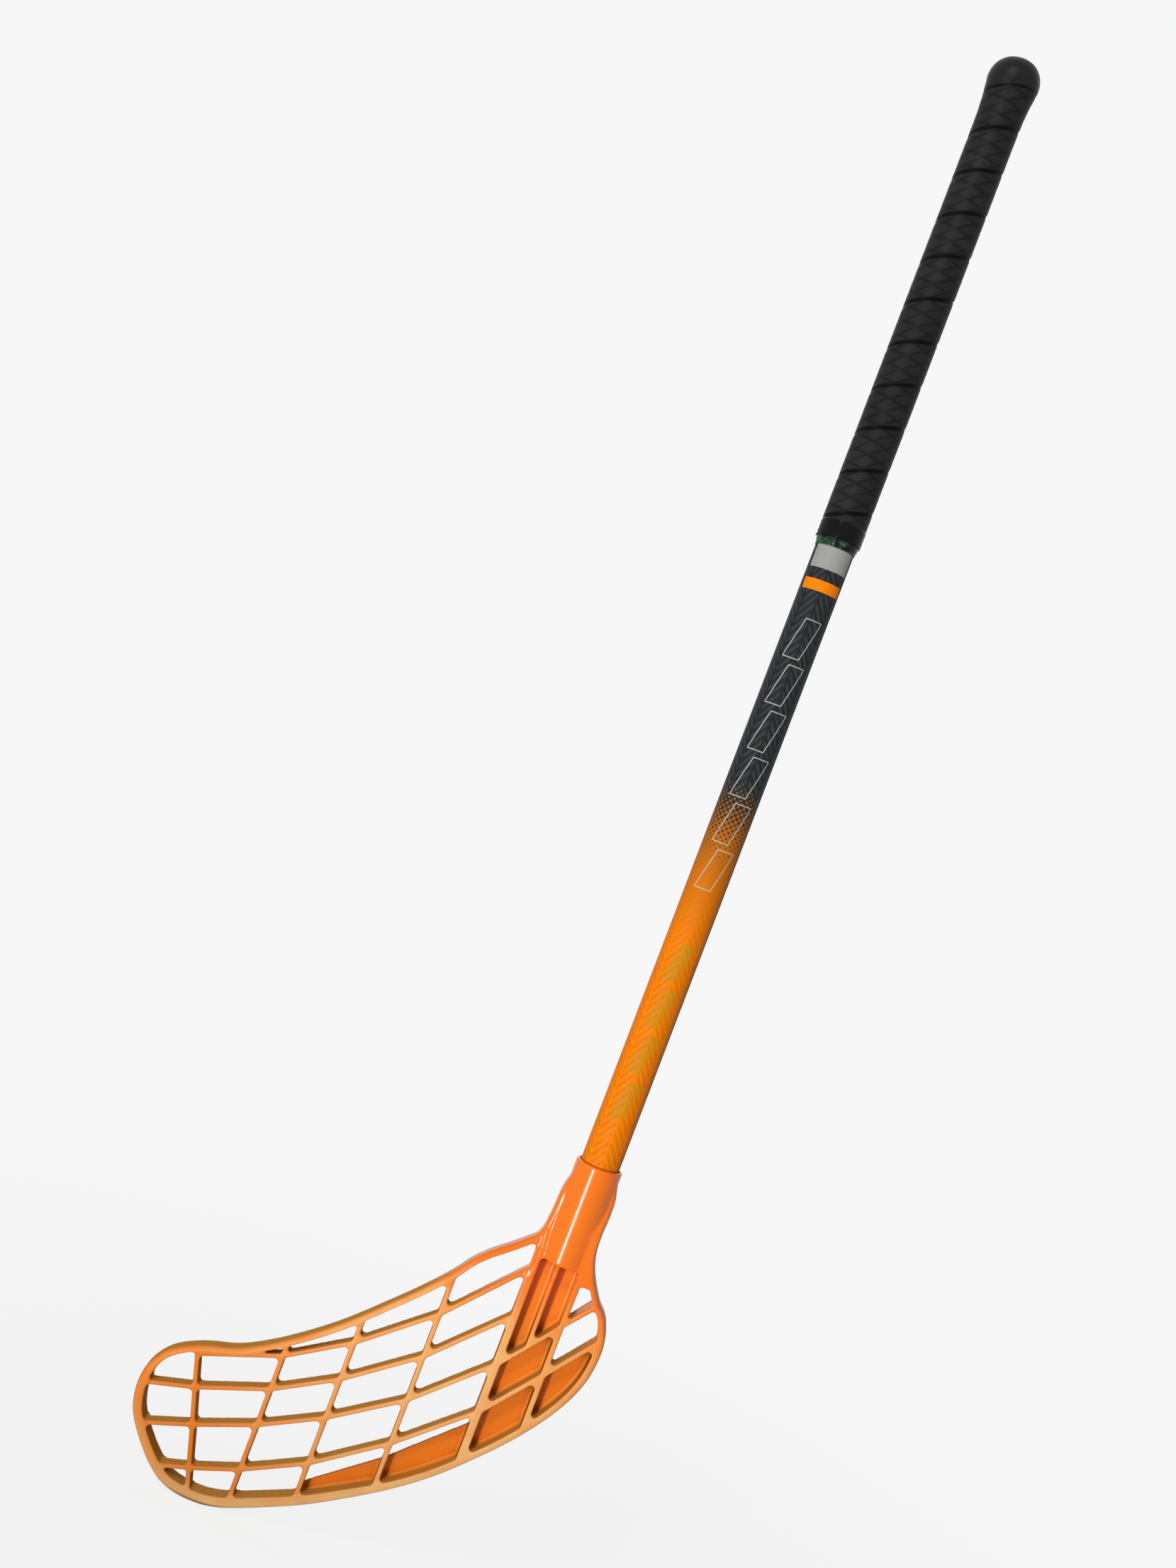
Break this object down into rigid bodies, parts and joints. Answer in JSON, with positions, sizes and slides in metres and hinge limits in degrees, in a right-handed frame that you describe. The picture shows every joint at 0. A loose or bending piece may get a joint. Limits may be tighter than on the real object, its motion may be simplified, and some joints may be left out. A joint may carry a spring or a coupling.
{
  "type": "floorball stick",
  "caption": "Floorball stick with a round composite shaft, wound soft grip, domed end knob and an open lattice blade moulded with a socket for the shaft.",
  "frame": {"origin": "on the shaft's axis at the middle of the grip winding, where the stick is held", "axes": "+Z along the shaft towards the knob, -X towards the blade's toe, +Y towards the blade's back"},
  "size_m": [0.2122, 0.027, 0.8234],
  "materials": {
    "composite": "black glass-fibre composite, semi-gloss",
    "printed_film": "printed film, dark above and orange below, satin gloss",
    "knob_rubber": "soft black rubber, satin",
    "grip_foam": "black polyurethane grip strip, matt with embossed lines",
    "vinyl_tape": "glossy black vinyl",
    "foil": "dark iridescent film",
    "hot_melt": "amber hot-melt adhesive",
    "screw_steel": "zinc-plated steel",
    "blade_plastic": "orange moulded polyethylene, waxy satin"
  },
  "bodies": {
    "root": {"shaft_tube": "composite", "shaft_film": "printed_film", "end_cap": "knob_rubber", "grip_tape": "grip_foam", "finishing_tape": "vinyl_tape", "foil_band": "foil", "socket_adhesive": "hot_melt", "blade_screws": "screw_steel", "blade": "blade_plastic"}
  },
  "joints": []
}
